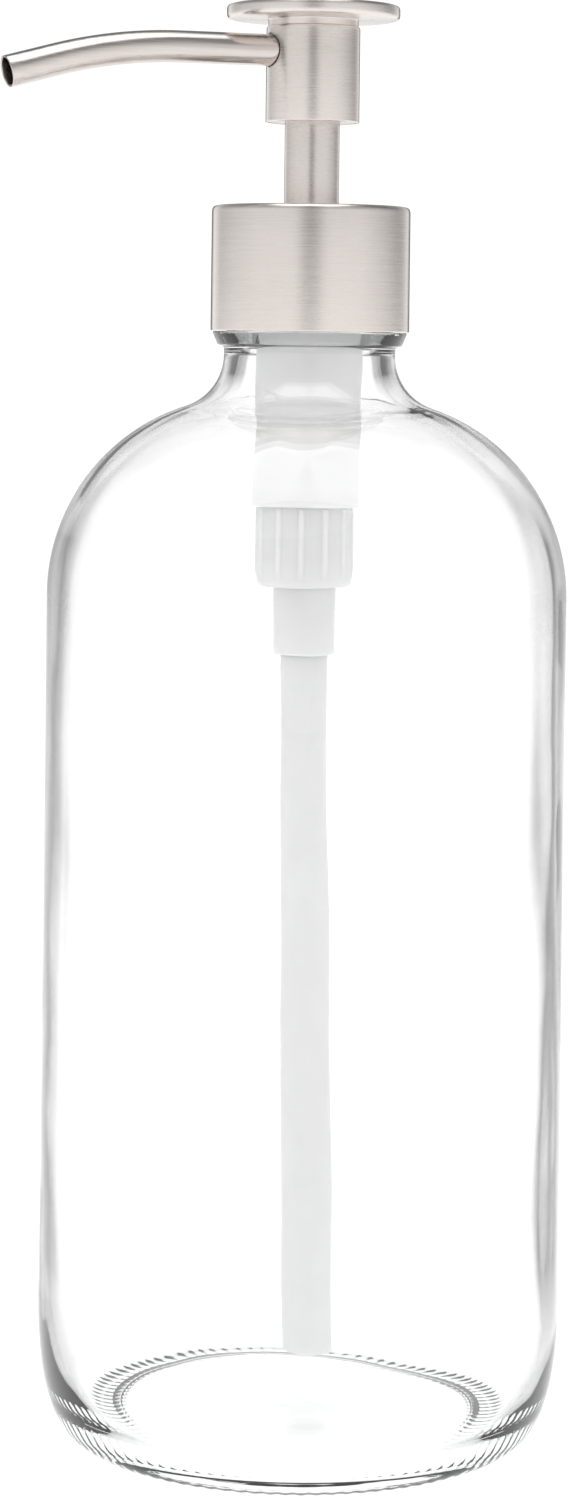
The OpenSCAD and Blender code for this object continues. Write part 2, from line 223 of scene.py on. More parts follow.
class Shader:
    """Short calls for building one node material."""

    def __init__(self, name):
        self.material = bpy.data.materials.new(name)
        self.material.use_nodes = True
        self.tree = self.material.node_tree
        self.nodes = self.tree.nodes
        self.principled = self.nodes["Principled BSDF"]
        self.output = self.nodes["Material Output"]

    def node(self, kind, inputs=None, **settings):
        made = self.nodes.new(kind)
        for key, value in settings.items():
            setattr(made, key, value)
        for key, value in (inputs or {}).items():
            self.put(made.inputs[key], value)
        return made

    def put(self, socket, value):
        if isinstance(value, bpy.types.NodeSocket):
            self.tree.links.new(value, socket)
        else:
            socket.default_value = value

    def set(self, **values):
        for key, value in values.items():
            self.put(self.principled.inputs[key.replace("_", " ")], value)

    def math(self, operation, a, b=0.0):
        made = self.node("ShaderNodeMath", operation=operation)
        self.put(made.inputs[0], a)
        self.put(made.inputs[1], b)
        return made.outputs[0]

    def place(self):
        return self.node("ShaderNodeTexCoord").outputs["Object"]

    def height(self, vector):
        return self.node("ShaderNodeSeparateXYZ", {"Vector": vector}).outputs["Z"]

    def facing(self):
        """0 where the surface faces the ray, 1 where it is seen edge on."""
        return self.node("ShaderNodeLayerWeight", {"Blend": 0.5}).outputs["Facing"]

    def multiplied(self, a, b):
        """Two colours multiplied."""
        return self.node("ShaderNodeVectorMath", {0: a, 1: b}, operation="MULTIPLY").outputs[0]

    def noise(self, vector, scale, detail=2.0, roughness=0.5):
        made = self.node("ShaderNodeTexNoise", {"Vector": vector, "Scale": scale, "Detail": detail,
                                                "Roughness": roughness})
        return made.outputs["Fac"]

    def blend(self, share, low, high):
        """A colour between low and high, by share from 0 to 1."""
        ramp = self.node("ShaderNodeValToRGB", {"Fac": share})
        ramp.color_ramp.elements[0].color = (*low, 1)
        ramp.color_ramp.elements[1].color = (*high, 1)
        return ramp

    def scaled(self, value, low, high, from_low=0.0, from_high=1.0):
        made = self.node("ShaderNodeMapRange", {"Value": value, "From Min": from_low, "From Max": from_high,
                                                "To Min": low, "To Max": high})
        return made.outputs[0]

    def bump(self, height, strength, distance):
        made = self.node("ShaderNodeBump", {"Height": height, "Strength": strength, "Distance": distance})
        return made.outputs["Normal"]


def around_axis(shader, around, along):
    """A vector that runs slowly round the axis and fast along it, for a grain that circles the axis."""
    split = shader.node("ShaderNodeSeparateXYZ", {"Vector": shader.place()})
    x, y, z = split.outputs
    angle = shader.math("ARCTAN2", y, x)
    far_squared = shader.math("ADD", shader.math("MULTIPLY", x, x), shader.math("MULTIPLY", y, y))
    far = shader.math("SQRT", far_squared)
    joined = shader.node("ShaderNodeCombineXYZ")
    shader.put(joined.inputs[0], shader.math("MULTIPLY", shader.math("COSINE", angle), around))
    shader.put(joined.inputs[1], shader.math("MULTIPLY", shader.math("SINE", angle), around))
    shader.put(joined.inputs[2], shader.math("MULTIPLY", shader.math("ADD", z, far), along))
    return joined.outputs[0]


# ---------------------------------------------------------------- materials


# Painted shade in the glass's colour, by how edge on it is seen: dark bands painted at the outline, where
# light that ran along inside the wall comes out of the body or the neck, and where light slants steeply
# into the neck's bore
OUTLINE_PAINTED_SHADE = [(0.6, 1), (0.7, 0.8), (0.82, 0.42), (0.92, 0.45), (1, 0.7)]
BODY_PAINTED_SHADE = [(0.205, 1), (0.22, 0.03), (0.234, 0.06), (0.248, 0.4), (0.262, 0.8), (0.28, 1)]
NECK_PAINTED_SHADE = [(0.12, 1), (0.135, 0.05), (0.175, 0.02), (0.205, 0.04), (0.225, 0.25), (0.24, 0.8),
             (0.26, 1)]
BORE_PAINTED_SHADE = [(0.175, 1), (0.19, 0.35), (0.235, 0.3), (0.25, 1)]


def clear_glass():
    """Clear glass that lets lamps through, with painted shade darkening its edges and bands, and the faint
    unevenness of a bottle.
    """
    s = Shader("bottle_glass")
    uneven = s.noise(s.place(), 28.0, 2.0, 0.45)
    stretched = s.node("ShaderNodeMapping", {"Vector": s.place(), "Scale": (14.0, 14.0, 5.0)}).outputs[0]
    thick = s.noise(stretched, 1.0, 2.0, 0.5)
    facing = s.facing()
    nudged = s.math("ADD", facing, s.scaled(thick, -0.015, 0.015))

    # The painted dark bands belong to upright walls below the bead, and fade towards the foot
    height = s.height(s.place())
    lean = s.math("ABSOLUTE", s.height(s.node("ShaderNodeTexCoord").outputs["Normal"]))
    below_bead = s.scaled(height, 1.0, 0.0, BEAD_Z - BEAD_H - 0.6 * MM, BEAD_Z - BEAD_H)
    above_heel = s.scaled(height, 0.3, 1.0, 10 * MM, 32 * MM)
    wall_part = s.math("MULTIPLY", below_bead, above_heel)
    upright = s.math("MULTIPLY", s.scaled(lean, 1.0, 0.0, 0.3, 0.7), wall_part)
    outline = s.node("ShaderNodeMix", {
        0: s.math("MULTIPLY", s.scaled(lean, 1.0, 0.0, 0.75, 0.93), wall_part),
        2: 1.0,
        3: grey_ramp(s.tree, s.math("ADD", facing, s.scaled(thick, -0.13, 0.13)), OUTLINE_PAINTED_SHADE),
    }).outputs[0]
    in_neck = s.scaled(height, 0.0, 1.0, BEAD_Z - 18 * MM, BEAD_Z - 9 * MM)
    wall = s.node("ShaderNodeMix", {0: in_neck, 2: grey_ramp(s.tree, nudged, BODY_PAINTED_SHADE),
                                    3: grey_ramp(s.tree, nudged, NECK_PAINTED_SHADE)}).outputs[0]
    path = s.node("ShaderNodeLightPath")
    within = s.math("MULTIPLY", s.node("ShaderNodeNewGeometry").outputs["Backfacing"], upright)
    bounced = s.math("MULTIPLY", within, path.outputs["Is Reflection Ray"])
    entered = s.math("MULTIPLY", s.math("MULTIPLY", within, path.outputs["Is Transmission Ray"]), in_neck)
    leaving = s.node("ShaderNodeMix", {0: bounced, 2: 1.0, 3: wall}).outputs[0]
    bore = s.node("ShaderNodeMix", {0: entered, 2: 1.0, 3: grey_ramp(s.tree, nudged, BORE_PAINTED_SHADE)}).outputs[0]
    # Painted shade: the glass's colour is darkened at its outline and in bands, by how edge on it is seen
    # and by the kind of ray
    s.set(Base_Color=s.math("MULTIPLY", outline, s.math("MULTIPLY", leaving, bore)), Roughness=0.0, IOR=1.5,
          Transmission_Weight=1.0, Normal=s.bump(uneven, 0.12, 0.002))
    through = s.math("MAXIMUM", path.outputs["Is Shadow Ray"], path.outputs["Is Diffuse Ray"])
    clear = s.node("ShaderNodeBsdfTransparent", {"Color": (0.95, 0.955, 0.955, 1)})
    mix = s.node("ShaderNodeMixShader", {0: through, 1: s.principled.outputs[0], 2: clear.outputs[0]})
    s.put(s.output.inputs["Surface"], mix.outputs[0])
    return s.material


def brushed_steel(name, grain, roughness, low, high, rim):
    """Satin stainless steel: fine lines along the grain, and painted shade that darkens its colour and
    metallic where it is seen edge on.
    """
    s = Shader(name)
    vector = grain(s)
    fine = s.noise(vector, 1.0, 6.0, 0.65)
    cloud = s.noise(s.place(), 90.0, 3.0, 0.5)
    lines = s.math("ADD", s.math("MULTIPLY", fine, 0.75), s.math("MULTIPLY", cloud, 0.25))
    colour = s.blend(s.scaled(lines, 0.0, 1.0, 0.3, 0.7), low, high).outputs[0]
    lean = s.math("ABSOLUTE", s.height(s.node("ShaderNodeTexCoord").outputs["Normal"]))
    # Painted shade: a dark outline painted where the surface is seen edge on, by lowering colour and
    # metallic
    edge_on = s.scaled(s.facing(), 0.0, 1.0, rim, rim + 0.1)
    painted_edge_mask = s.math("MULTIPLY", edge_on, s.scaled(lean, 1.0, 0.0, 0.7, 0.9))
    shade = s.scaled(painted_edge_mask, 1.0, 0.2)
    s.set(Base_Color=s.multiplied(colour, shade), Metallic=s.scaled(painted_edge_mask, 1.0, 0.1),
          Specular_IOR_Level=0.0, Anisotropic=0.7, Anisotropic_Rotation=0.25,
          Roughness=s.scaled(fine, roughness - 0.07, roughness + 0.07, 0.3, 0.7),
          Normal=s.bump(fine, 0.1, 0.0002))
    tangent = s.node("ShaderNodeTangent", direction_type="RADIAL", axis="Z")
    s.put(s.principled.inputs["Tangent"], tangent.outputs[0])
    return s.material


def ring_grain(s):
    return around_axis(s, 1.2, 9000.0)


def spout_grain(s):
    """Lines that run along the spout."""
    place = s.node("ShaderNodeMapping", {"Vector": s.place(), "Scale": (60.0, 2600.0, 2600.0)})
    return place.outputs[0]


def moulded_plastic(name, low, high, roughness, depth=0.0):
    """Moulded polypropylene: slight mottling, soft gloss, and light carried inside where depth is given."""
    s = Shader(name)
    mottle = s.noise(s.place(), 160.0, 3.0, 0.5)
    fine = s.noise(s.place(), 2200.0, 2.0, 0.5)
    colour = s.blend(mottle, low, high)
    s.set(Base_Color=colour.outputs[0], IOR=1.49,
          Roughness=s.scaled(mottle, roughness - 0.05, roughness + 0.05), Normal=s.bump(fine, 0.05, 0.0002))
    if depth:
        s.set(Subsurface_Weight=1.0, Subsurface_Scale=depth)
        s.principled.inputs["Subsurface Radius"].default_value = (1.0, 1.0, 1.0)
    return s.material


def seal_rubber():
    s = Shader("seal_rubber")
    mottle = s.noise(s.place(), 700.0, 3.0, 0.5)
    colour = s.blend(mottle, (0.018, 0.018, 0.02), (0.04, 0.04, 0.042))
    s.set(Base_Color=colour.outputs[0], Roughness=s.scaled(mottle, 0.5, 0.7),
          Normal=s.bump(mottle, 0.1, 0.0002))
    return s.material


def bright_steel():
    s = Shader("bright_steel")
    mottle = s.noise(s.place(), 500.0, 3.0, 0.5)
    colour = s.blend(mottle, (0.62, 0.61, 0.6), (0.75, 0.74, 0.73))
    s.set(Base_Color=colour.outputs[0], Metallic=1.0, Roughness=s.scaled(mottle, 0.12, 0.24))
    return s.material


GLASS = clear_glass()
STEEL = brushed_steel("brushed_steel", ring_grain, 0.3, (0.67, 0.62, 0.59), (0.81, 0.76, 0.73), 0.77)
# The spout's steel is partly its own finish, smoother with grain along the tube, and partly painted shade:
# its colour is painted darker than the collar's steel
SPOUT_STEEL_PAINTED_DARKER = brushed_steel("spout_steel", spout_grain, 0.17, (0.54, 0.5, 0.47), (0.68, 0.635, 0.61), 0.62)
HOUSING_PLASTIC = moulded_plastic("translucent_plastic", (0.69, 0.688, 0.684), (0.765, 0.763, 0.759),
                                  0.38, 2 * MM)
WHITE_PLASTIC = moulded_plastic("white_plastic", (0.8, 0.8, 0.79), (0.87, 0.87, 0.86), 0.4)
RUBBER = seal_rubber()
BRIGHT = bright_steel()

# ---------------------------------------------------------------- the bottle

# Direction in which the glass wall is thicker, and by how much of a millimetre
THICK_SIDE = Vector((0.91, -0.41))
THICKER = 0.55
KNURLS = 96
KNURL_DEPTH = 0.2 * MM
BOTTLE_SEGMENTS = 4 * KNURLS


def heel(x, z, w, h, steps):
    """Quarter of a superellipse, from its foot on the floor up to the wall."""
    turns = [math.pi / 2 * i / steps for i in range(steps + 1)]
    power = 2 / HEEL_POWER
    return [(x + w * math.sin(t) ** power, z + h - h * max(math.cos(t), 0.0) ** power) for t in turns]


def bottle_outline():
    """The glass from the push-up's centre, out and up to the rim, and down inside to the floor's centre."""
    foot_r = BOTTLE_R - HEEL_DEPTH
    fillet_x = NECK_R + FILLET_R
    fillet_z = BEAD_Z - BEAD_H - 1.7 * MM
    shoulder_x = BOTTLE_R - SHOULDER_R
    reach = SHOULDER_R + FILLET_R
    shoulder_z = fillet_z - math.sqrt(reach ** 2 - (fillet_x - shoulder_x) ** 2)
    lean = math.degrees(math.atan2(fillet_z - shoulder_z, fillet_x - shoulder_x))
    lip = 0.8 * MM
    bead_low = BEAD_Z - BEAD_H
    dome_edge = (foot_r - FOOT_W - 2.2 * MM, 1.5 * MM)
    outside = (
        dome(PUSH_UP, *dome_edge, 24)
        + line(dome_edge, (foot_r - FOOT_W, 0), 5)
        + line((foot_r - FOOT_W, 0), (foot_r, 0), 8)
        + heel(foot_r, 0, HEEL_DEPTH, HEEL_H, 28)
        + line((BOTTLE_R, HEEL_H), (BOTTLE_R, shoulder_z), 22)[1:]
        + arc(shoulder_x, shoulder_z, SHOULDER_R, 0, lean, 24)
        + arc(fillet_x, fillet_z, FILLET_R, 180 + lean, 180, 12)[1:]
        + arc(NECK_R + 0.7 * MM, bead_low - 0.7 * MM, 0.7 * MM, 180, 92, 4)
        + arc(BEAD_R - 1.2 * MM, bead_low + 0.5 * MM, 0.5 * MM, -85, -25, 4)
        + arc(BEAD_R - 0.1 * MM, BEAD_Z - 0.2 * MM, 0.2 * MM, -25, 90, 4)
        + arc(ROOT_R + 0.4 * MM, BEAD_Z + 0.4 * MM, 0.4 * MM, -90, -180, 3)
        + line((ROOT_R, BEAD_Z + 0.6 * MM), (ROOT_R, RIM_Z - lip), 34)
        + arc(ROOT_R - lip, RIM_Z - lip, lip, 0, 90, 5)
    )
    inner_r = BOTTLE_R - GLASS_T
    inside = (
        dome(INNER_DOME_Z, inner_r - INNER_ROUND_W, FLOOR_T, 12)
        + heel(inner_r - INNER_ROUND_W, FLOOR_T, INNER_ROUND_W, INNER_ROUND_H, 18)
        + line((inner_r, FLOOR_T + INNER_ROUND_H), (inner_r, shoulder_z), 22)[1:]
        + arc(shoulder_x, shoulder_z, SHOULDER_R - GLASS_T, 0, lean, 22)
        + arc(fillet_x, fillet_z, FILLET_R + GLASS_T, 180 + lean, 180, 12)[1:]
        + [(BORE_R, BEAD_Z), (BORE_R, RIM_Z - 1.0 * MM)]
        + arc(BORE_R + 0.6 * MM, RIM_Z - 0.6 * MM, 0.6 * MM, 180, 90, 4)
    )
    return outside, inside[::-1]


def bottle():
    """Blown glass bottle: knurled foot, helical thread, and an inner wall that isn't quite even."""
    outside, inside = bottle_outline()
    foot_in = BOTTLE_R - HEEL_DEPTH - FOOT_W - 2.4 * MM
    foot_out = BOTTLE_R - HEEL_DEPTH + 4.2 * MM

    def knurl(r, z, angle):
        """Ridges that cross the bearing ring at a slant; only the hollows between them leave the floor."""
        middle = (foot_in + foot_out) / 2
        spread = abs(r - middle) / ((foot_out - foot_in) / 2)
        if spread >= 1 or z > 2.5 * MM:
            return 0.0
        slant = (r - middle) / MM * 0.12
        hollow = 0.5 - 0.5 * math.cos(KNURLS * angle + slant)
        return KNURL_DEPTH * hollow * (1 - spread ** 4)

    def thread(z, angle):
        """Height of the thread's ridge above the neck."""
        turn = math.degrees(angle) / THREAD_DEG
        if turn > 1:
            return 0.0
        fade = min(1, 6 * turn, 6 * (1 - turn))
        off = abs(z - THREAD_Z - THREAD_PITCH * math.degrees(angle) / 360)
        slope = (1.05 * MM - off) / (0.6 * MM)
        return THREAD_H * fade * min(1, max(0, slope))

    def shape(r, z, angle, row):
        x, y = math.cos(angle), math.sin(angle)
        if row >= len(outside):
            if z < RIM_Z - 12 * MM and r > BORE_R:
                wave = noise.noise(Vector((x * 1.6, y * 1.6, z / (26 * MM))))
                fine = noise.noise(Vector((x * 5 + 9, y * 5, z / (60 * MM))))
                fade_in = (z - 8 * MM) / (20 * MM)
                fade_out = (RIM_Z - 14 * MM - z) / (22 * MM)
                level = min(1, max(0, min(fade_in, fade_out)))
                thicker = THICKER * (x * THICK_SIDE.x + y * THICK_SIDE.y)
                r -= (0.32 * wave + 0.1 * fine + thicker) * MM * level
            return r, z
        if r < foot_in:
            mottle = noise.noise(Vector((r * x, r * y, 0)) / (2.4 * MM))
            z += 0.01 * MM * mottle * min(1, (foot_in - r) / (3 * MM))
        elif z < 3 * MM:
            z += knurl(r, z, angle)
        if z > BEAD_Z + 1 * MM and r > ROOT_R - 0.1 * MM:
            r += thread(z, angle)
        if HEEL_H < z < RIM_Z - 40 * MM:
            wave = noise.noise(Vector((x * 1.2 + 4, y * 1.2, z / (45 * MM))))
            r -= (0.06 + 0.06 * wave) * MM
        return r, z

    bm = lathe(outside + inside, BOTTLE_SEGMENTS, shape, closed=False)
    return finish_mesh("bottle_glass", bm, "bottle", GLASS, ["bottle"], 60)


bottle()

# ---------------------------------------------------------------- steel pieces


def collar():
    """Thin steel cup over the closure, with a rolled top edge and a turned-in lip."""
    wall = 0.5 * MM
    hole_r = 8.3 * MM
    return turned("steel_collar", [
        (COLLAR_R - wall, COLLAR_Z, 0.1 * MM),
        (COLLAR_R, COLLAR_Z, 0.35 * MM),
        (COLLAR_R, COLLAR_TOP, 1.1 * MM),
        (hole_r, COLLAR_TOP, 0.3 * MM),
        (hole_r, COLLAR_TOP - wall, 0.05 * MM),
        (COLLAR_R - 1.6 * MM, COLLAR_TOP - wall, 0.1 * MM),
        (COLLAR_R - wall, COLLAR_TOP - 1.6 * MM, 0.1 * MM),
    ], "collar", STEEL, ["collar_shell"], 192)


def stem():
    wall = 0.5 * MM
    low, high = low_z("stem_sleeve"), high_z("stem_sleeve")
    return turned("steel_stem", [
        (STEM_R - wall, low, 0.1 * MM),
        (STEM_R, low, 0.25 * MM),
        (STEM_R, high, 0.1 * MM),
        (STEM_R - wall, high, 0.1 * MM),
    ], "head", STEEL, ["stem_sleeve"], 96)


def head_body():
    """Head shell with the spout's hole cut through its side."""
    wall = 0.6 * MM
    shell = turned("head_body", [
        (HEAD_R - wall, HEAD_Z, 0.05 * MM),
        (HEAD_R, HEAD_Z, 0.55 * MM),
        (HEAD_R, HEAD_TOP, 0.45 * MM),
        (4 * MM, HEAD_TOP, 0.05 * MM),
        (4 * MM, HEAD_TOP - 0.8 * MM, 0.05 * MM),
        (HEAD_R - wall, HEAD_TOP - 0.8 * MM, 0.1 * MM),
    ], "head", STEEL, ["head_shell"], 192)
    hole_r = SPOUT_R + 0.32 * MM
    bm = bmesh.new()
    across = Matrix.Translation((-HEAD_R, 0, SPOUT_Z)) @ Matrix.Rotation(math.pi / 2, 4, "Y")
    bmesh.ops.create_cone(bm, cap_ends=True, segments=64, radius1=hole_r, radius2=hole_r,
                          depth=HEAD_R * 1.2, matrix=across)
    mesh = bpy.data.meshes.new("hole_cutter")
    bm.to_mesh(mesh)
    bm.free()
    cutter = bpy.data.objects.new("hole_cutter", mesh)
    bpy.context.scene.collection.objects.link(cutter)
    cut = shell.modifiers.new("spout_hole", "BOOLEAN")
    cut.operation = "DIFFERENCE"
    cut.solver = "EXACT"
    cut.object = cutter
    bpy.context.view_layer.update()
    cut_mesh = bpy.data.meshes.new_from_object(shell.evaluated_get(bpy.context.evaluated_depsgraph_get()))
    shell.modifiers.clear()
    shell.data = cut_mesh
    cut_mesh.set_sharp_from_angle(angle=math.radians(40))
    bpy.data.objects.remove(cutter)
    return shell


def base_ring():
    low, high = low_z("head_base_ring"), high_z("head_base_ring")
    return turned("head_under_ring", [
        (STEM_R + 0.02 * MM, low + 0.15 * MM, 0.1 * MM),
        (radius("head_base_ring"), low + 0.15 * MM, 0.05 * MM),
        (radius("head_base_ring"), high, 0.05 * MM),
        (STEM_R + 0.02 * MM, high, 0.05 * MM),
    ], "head", STEEL, ["head_base_ring"], 96)


def press_disc():
    """Flat disc with soft edges on a narrower boss, faintly dished on top."""
    boss_r = HEAD_R - 0.35 * MM
    under = TOP_Z - 2.6 * MM
    outline = rounded([
        (4 * MM, HEAD_TOP - 0.8 * MM, 0.05 * MM),
        (4 * MM, HEAD_TOP, 0.02 * MM),
        (boss_r, HEAD_TOP, 0.05 * MM),
        (boss_r, under, 0.3 * MM),
        (DISC_R, under, 0.95 * MM),
        (DISC_R, TOP_Z, 0.85 * MM),
        (DISC_R - 3 * MM, TOP_Z, 1.5 * MM),
        (DISC_R - 6 * MM, TOP_Z - 0.06 * MM, 1 * MM),
    ], 6)
    bm = lathe([(0, HEAD_TOP - 0.8 * MM)] + outline + [(0, TOP_Z - 0.1 * MM)], 192, closed=False)
    return finish_mesh("press_disc", bm, "head", STEEL, ["thumb_disc"], 50)


def spout_path():
    """(centre, slope) down the spout's axis, from its root, a little below level, to its tip."""
    path = []
    for i in range(9):
        x = -SPOUT_IN - (SPOUT_STRAIGHT - SPOUT_IN) * i / 8
        path.append((Vector((x, 0, SPOUT_Z)), 0.0))
    for i in range(1, 33):
        a = SPOUT_BEND * i / 32
        path.append((Vector((-SPOUT_STRAIGHT - SPOUT_BEND_R * math.sin(a), 0,
                             SPOUT_Z - SPOUT_BEND_R * (1 - math.cos(a)))), a))
    end = path[-1][0]
    ahead = Vector((-math.cos(SPOUT_BEND), 0, -math.sin(SPOUT_BEND)))
    for i in range(1, 5):
        path.append((end + ahead * SPOUT_TIP * i / 4, SPOUT_BEND))
    root = path[0][0]
    droop = Matrix.Rotation(-SPOUT_DROOP, 3, "Y")
    return [(root + droop @ (point - root), lean + SPOUT_DROOP) for point, lean in path]


def spout():
    """Bent steel tube with a deburred, slightly rounded mouth."""
    path = spout_path()
    lip = 0.16 * MM
    sides = 64
    centre, lean = path[-1]
    ahead = Vector((-math.cos(lean), 0, -math.sin(lean)))
    rings = [(p, a, SPOUT_R) for p, a in path[:-1]]
    for k in range(5):
        t = math.pi / 2 * k / 4
        rings.append((centre - ahead * lip * (1 - math.sin(t)), lean, SPOUT_R - lip * (1 - math.cos(t))))
    for k in range(5):
        t = math.pi / 2 * k / 4
        inside_r = SPOUT_R - SPOUT_T + lip * (1 - math.sin(t))
        rings.append((centre - ahead * lip * (1 - math.cos(t)), lean, inside_r))
    rings += [(p, a, SPOUT_R - SPOUT_T) for p, a in reversed(path[:-1])]
    bm = bmesh.new()
    rows = []
    for place, a, r in rings:
        up = Vector((-math.sin(a), 0, math.cos(a)))
        side = Vector((0, 1, 0))
        turns = (2 * math.pi * k / sides for k in range(sides))
        rows.append([bm.verts.new(place + up * r * math.cos(t) + side * r * math.sin(t)) for t in turns])
    for i, row in enumerate(rows):
        after = rows[(i + 1) % len(rows)]
        for k in range(sides):
            m = (k + 1) % sides
            bm.faces.new([row[k], row[m], after[m], after[k]])
    return finish_mesh("spout", bm, "head", SPOUT_STEEL_PAINTED_DARKER, ["spout_tube"], 60)


collar()
stem()
head_body()
base_ring()
press_disc()
spout()

# ---------------------------------------------------------------- pump body

HOUSING_TOP = high_z("pump_housing")
HOUSING_LOW = low_z("pump_housing")
STEP_Z = HOUSING_TOP - 44.5 * MM
VALVE_Z = HOUSING_LOW + 12.2 * MM
BARREL_R = 9.7 * MM
BARREL_BORE_R = 8.4 * MM
VALVE_BORE_R = 7.6 * MM
TUBE_R = 4.5 * MM
SEAT_R = 2 * MM
VALVE_R = 8.45 * MM
SOCKET_R = 5.7 * MM
RIBS = 12


def housing():
    """Moulded barrel in three steps, with soft edges and twelve ribs on the valve section."""
    flange_r = radius("pump_housing")
    corners = [
        (BARREL_BORE_R, HOUSING_TOP, 0.05 * MM),
        (flange_r, HOUSING_TOP, 0.2 * MM),
        (flange_r, HOUSING_TOP - 1.8 * MM, 0.2 * MM),
        (BARREL_R, HOUSING_TOP - 1.8 * MM, 0.2 * MM),
        (BARREL_R, STEP_Z, 0.5 * MM),
        (VALVE_R, STEP_Z, 0.2 * MM),
        (VALVE_R, VALVE_Z, 1.6 * MM),
        (SOCKET_R, VALVE_Z, 0.2 * MM),
        (SOCKET_R, HOUSING_LOW, 0.5 * MM),
        (TUBE_R, HOUSING_LOW, 0.1 * MM),
        (TUBE_R, HOUSING_LOW + 11.2 * MM, 0.05 * MM),
        (SEAT_R, HOUSING_LOW + 11.2 * MM, 0.05 * MM),
        (SEAT_R, VALVE_Z + 1.2 * MM, 0.05 * MM),
        (4.6 * MM, VALVE_Z + 3.8 * MM, 0.05 * MM),
        (VALVE_BORE_R, VALVE_Z + 3.8 * MM, 0.1 * MM),
        (VALVE_BORE_R, STEP_Z + 1.2 * MM, 0.1 * MM),
        (BARREL_BORE_R, STEP_Z + 1.2 * MM, 0.1 * MM),
    ]
    outline = rounded(corners, 5)
    step = max(i for i, (r, z) in enumerate(outline) if r < VALVE_R + 0.25 * MM and z > STEP_Z - 0.21 * MM
               and i < len(outline) // 2)
    outline[step + 1:step + 1] = line((VALVE_R, STEP_Z - 0.25 * MM), (VALVE_R, VALVE_Z + 1.7 * MM), 8)

    def ribs(r, z, angle, row):
        if abs(r - VALVE_R) > 0.02 * MM or not VALVE_Z + 1.5 * MM < z < STEP_Z - 0.2 * MM:
            return r, z
        off = abs((angle / (2 * math.pi) * RIBS + 0.5) % 1 - 0.5) * 2 * math.pi * VALVE_R / RIBS
        height = min(1, max(0, (0.62 * MM - off) / (0.3 * MM)))
        return r + 0.3 * MM * height, z

    return finish_mesh("pump_barrel", lathe(outline, 240, ribs), "pump_body", HOUSING_PLASTIC,
                       ["pump_housing"], 50)


TUBE_SOCKET = 11 * MM
TUBE_BEND = Vector((1.9 * MM, -0.85 * MM))


def suction_tube():
    """Dip tube with rounded cut ends, bent a little away from the bottle's axis below its socket."""
    low, high = low_z("dip_tube"), high_z("dip_tube")
    r = radius("dip_tube")
    inner_r = r - 0.9 * MM
    lip = 0.2 * MM
    outline = (
        arc(inner_r + lip, low + lip, lip, 180, 270, 3)
        + arc(r - lip, low + lip, lip, 270, 360, 3)
        + line((r, low + lip), (r, high - lip), 30)[1:]
        + arc(r - lip, high - lip, lip, 0, 90, 3)
        + arc(inner_r + lip, high - lip, lip, 90, 180, 3)
        + line((inner_r, high - lip), (inner_r, low + lip), 30)[1:]
    )
    bm = lathe(outline, 96)
    for vert in bm.verts:
        below = min(1, max(0, (high - TUBE_SOCKET - vert.co.z) / (high - TUBE_SOCKET - low)))
        vert.co.x += TUBE_BEND.x * below ** 1.4
        vert.co.y += TUBE_BEND.y * below ** 1.4
    return finish_mesh("suction_tube", bm, "pump_body", HOUSING_PLASTIC, ["dip_tube"])


def spring():
    """Round-wire return spring, coiled at one length between the ends of the return_spring node."""
    low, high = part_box("return_spring")
    wire = 0.53 * MM
    coil_r = radius("return_spring") - wire
    turns, steps, sides = 7.5, 40, 14
    count = int(turns * steps)
    bottom, top = low.z + wire, high.z - wire
    pitch_share = 2 * wire / (top - bottom)
    bm = bmesh.new()
    rows = []
    for i in range(count + 1):
        share = i / count
        end = 1 / turns
        if share < end:
            rise = pitch_share * share / end
        elif share > 1 - end:
            rise = 1 - pitch_share * (1 - share) / end
        else:
            rise = pitch_share + (1 - 2 * pitch_share) * (share - end) / (1 - 2 * end)
        angle = 2 * math.pi * turns * share
        out = Vector((math.cos(angle), math.sin(angle), 0))
        centre = out * coil_r + Vector((0, 0, bottom + (top - bottom) * rise))
        around = (2 * math.pi * k / sides for k in range(sides))
        rows.append([bm.verts.new(centre + out * wire * math.cos(t) + Vector((0, 0, wire * math.sin(t))))
                     for t in around])
    for row, after in zip(rows, rows[1:]):
        for k in range(sides):
            m = (k + 1) % sides
            bm.faces.new([row[k], row[m], after[m], after[k]])
    bm.faces.new(rows[0])
    bm.faces.new(rows[-1])
    coil = finish_mesh("coil_spring", bm, "pump_body", BRIGHT, ["return_spring"], 60)
    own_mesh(coil)
    return coil


housing()
suction_tube()
spring()

# ---------------------------------------------------------------- CAD nodes that keep their shape

KEPT = {
    "neck_gasket": RUBBER,
    "guide_ring": WHITE_PLASTIC,
    "ball_cage": WHITE_PLASTIC,
    "inlet_ball": BRIGHT,
    "outlet_ball": BRIGHT,
    "collar_insert": WHITE_PLASTIC,
    "piston": WHITE_PLASTIC,
    "stem_core": WHITE_PLASTIC,
    "head_core": WHITE_PLASTIC,
    "spout_o_ring": RUBBER,
}


def dress(node, material):
    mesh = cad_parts[node].data
    mesh.materials.clear()
    mesh.materials.append(material)


for node, material in KEPT.items():
    dress(node, material)

# ---------------------------------------------------------------- floor, light and camera

CAMERA_AZIMUTH = math.radians(-24)
CAMERA_DISTANCE = 0.66
CAMERA_ROLL = math.radians(0.7)
CAMERA_LENS = 86.9
CAMERA_SHIFT = (-0.0162, -0.279)
FLOOR_R = 2.5
ROOM_LEVEL = 1.08
OVERHEAD_LEVEL = 1.25
# Level of the room in reflections, by degrees to the right of straight behind the camera
ROUND_ABOUT = [
    (-180, 0.6), (-165, 0.65), (-150, 1.1), (-130, 0.62), (-95, 0.85), (-60, 1), (-15, 1), (-7, 0.4),
    (0, 0.3), (7, 0.4), (15, 1), (60, 1), (95, 0.7), (120, 0.42), (135, 0.5), (150, 1), (165, 0.65),
    (180, 0.6),
]
